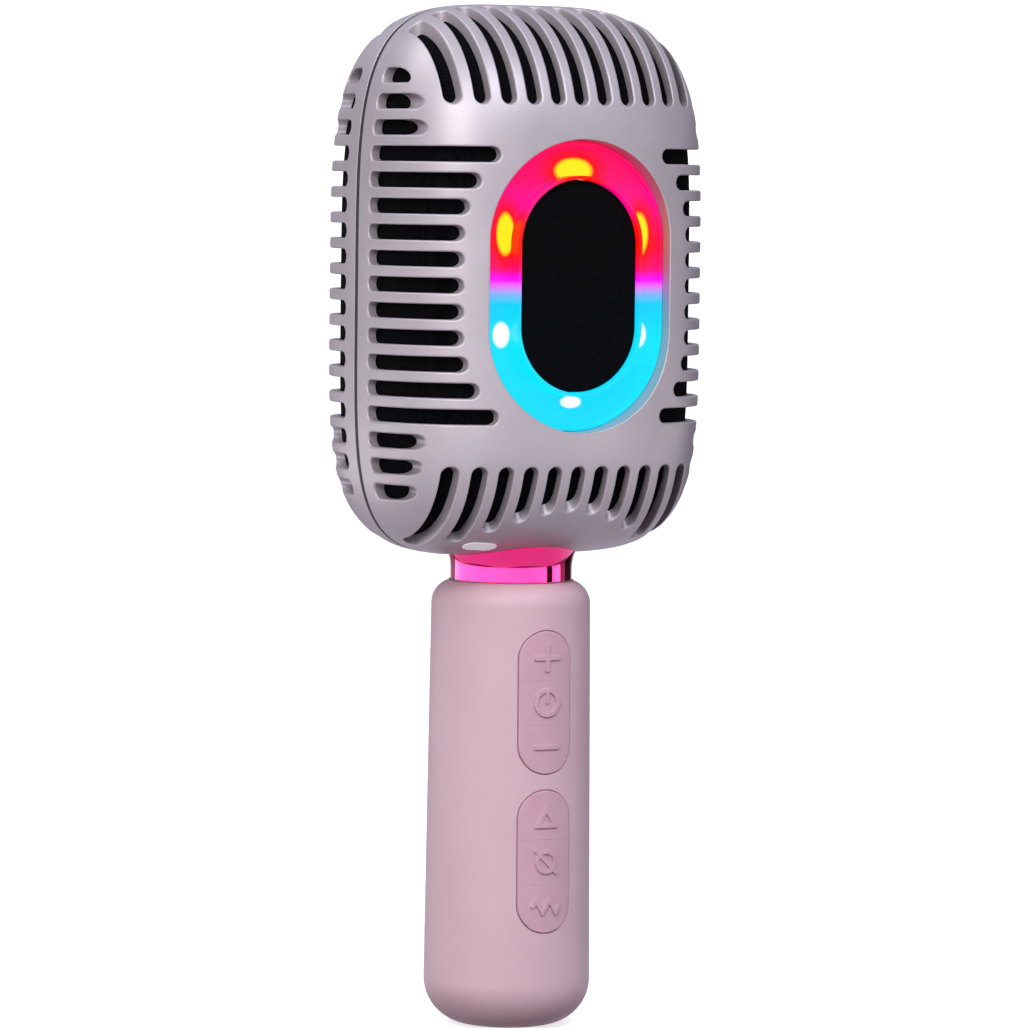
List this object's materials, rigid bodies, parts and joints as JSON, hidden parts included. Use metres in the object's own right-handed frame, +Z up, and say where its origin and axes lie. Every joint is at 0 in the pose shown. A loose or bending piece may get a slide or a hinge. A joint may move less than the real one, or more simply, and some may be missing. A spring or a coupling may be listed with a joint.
{
  "type": "karaoke microphone",
  "caption": "Hand-held wireless karaoke microphone with a slotted speaker head, a stadium light ring round a cloth mouth, a plated flared neck and a tapered handle with recessed keypads.",
  "frame": {"origin": "centre of the handle's flat base, on the surface the microphone stands on", "axes": "+Z up along the handle to the head, -Y towards the front with the light ring and the keypads, +X to the front view's right"},
  "size_m": [0.0806, 0.0692, 0.235],
  "materials": {
    "pearl_paint": "pearl champagne-mauve satin paint on moulded plastic",
    "black_rubber": "matt black rubber",
    "black_cloth": "black woven speaker cloth",
    "lit_acrylic": "clear frosted acrylic, lit from behind",
    "white_plastic": "white reflector plastic",
    "circuit_board": "green solder mask",
    "lamp": "lit lamp package",
    "steel": "zinc-plated steel",
    "black_plastic": "black moulded plastic",
    "aluminium_can": "satin aluminium",
    "speaker_steel": "black painted pressed steel",
    "cone_paper": "dark treated paper",
    "copper": "enamelled copper wire",
    "ferrite": "dark ferrite",
    "pink_chrome": "hot pink plated mirror finish",
    "pink_soft_touch": "dusty pink soft-touch paint",
    "pink_key": "dusty pink silicone",
    "white_label": "plain white sticker",
    "battery_wrap": "blue shrink wrap"
  },
  "bodies": {
    "microphone": {"front_shell": "pearl_paint", "rear_shell": "pearl_paint", "rear_bezel": "pearl_paint", "seam_gasket": "black_rubber", "front_liner": "black_cloth", "rear_liner": "black_cloth", "light_ring": "lit_acrylic", "ring_reflector": "white_plastic", "led_board": "circuit_board", "leds": "lamp", "ring_screws": "steel", "front_cloth": "black_cloth", "cloth_frame": "black_plastic", "mic_capsule": "aluminium_can", "capsule_holder": "black_rubber", "rear_cloth": "black_cloth", "rear_grille": "black_plastic", "inner_frame": "black_plastic", "frame_screws": "steel", "speaker_basket": "speaker_steel", "speaker_surround": "black_rubber", "speaker_magnet": "ferrite", "speaker_yoke": "steel", "speaker_screws": "steel", "neck_collar": "pink_chrome", "neck_tube": "aluminium_can", "neck_nut": "steel", "neck_screws": "steel", "wire_loom": "black_rubber", "underside_sticker": "white_label", "handle_body": "pink_soft_touch", "base_cap": "pink_soft_touch", "usb_socket": "steel", "upper_key_web": "pink_key", "lower_key_web": "pink_key", "key_board": "circuit_board", "tact_switches": "black_plastic", "main_board": "circuit_board", "bluetooth_module": "steel", "amplifier_chip": "black_plastic", "board_screws": "steel", "battery_cell": "battery_wrap", "battery_cradle": "black_plastic", "battery_contacts": "steel"},
    "cone": {"speaker_cone": "cone_paper", "dust_cap": "cone_paper", "voice_coil": "copper"},
    "plus_key": {"plus_key": "pink_key"},
    "power_key": {"power_key": "pink_key"},
    "minus_key": {"minus_key": "pink_key"},
    "echo_key": {"echo_key": "pink_key"},
    "mute_key": {"mute_key": "pink_key"},
    "mode_key": {"mode_key": "pink_key"}
  },
  "joints": [
    {"name": "plus_press", "type": "slide", "parent": "microphone", "child": "plus_key", "axis": [0, 1, 0], "range_m": [0, 0.0004], "stiffness_N_per_m": 2500},
    {"name": "power_press", "type": "slide", "parent": "microphone", "child": "power_key", "axis": [0, 1, 0], "range_m": [0, 0.0004], "stiffness_N_per_m": 2500},
    {"name": "minus_press", "type": "slide", "parent": "microphone", "child": "minus_key", "axis": [0, 1, 0], "range_m": [0, 0.0004], "stiffness_N_per_m": 2500},
    {"name": "echo_press", "type": "slide", "parent": "microphone", "child": "echo_key", "axis": [0, 1, 0], "range_m": [0, 0.0004], "stiffness_N_per_m": 2500},
    {"name": "mute_press", "type": "slide", "parent": "microphone", "child": "mute_key", "axis": [0, 1, 0], "range_m": [0, 0.0004], "stiffness_N_per_m": 2500},
    {"name": "mode_press", "type": "slide", "parent": "microphone", "child": "mode_key", "axis": [0, 1, 0], "range_m": [0, 0.0004], "stiffness_N_per_m": 2500},
    {"name": "cone_throw", "type": "slide", "parent": "microphone", "child": "cone", "axis": [0, 1, 0], "range_m": [-0.0008, 0.0008], "stiffness_N_per_m": 1500}
  ]
}
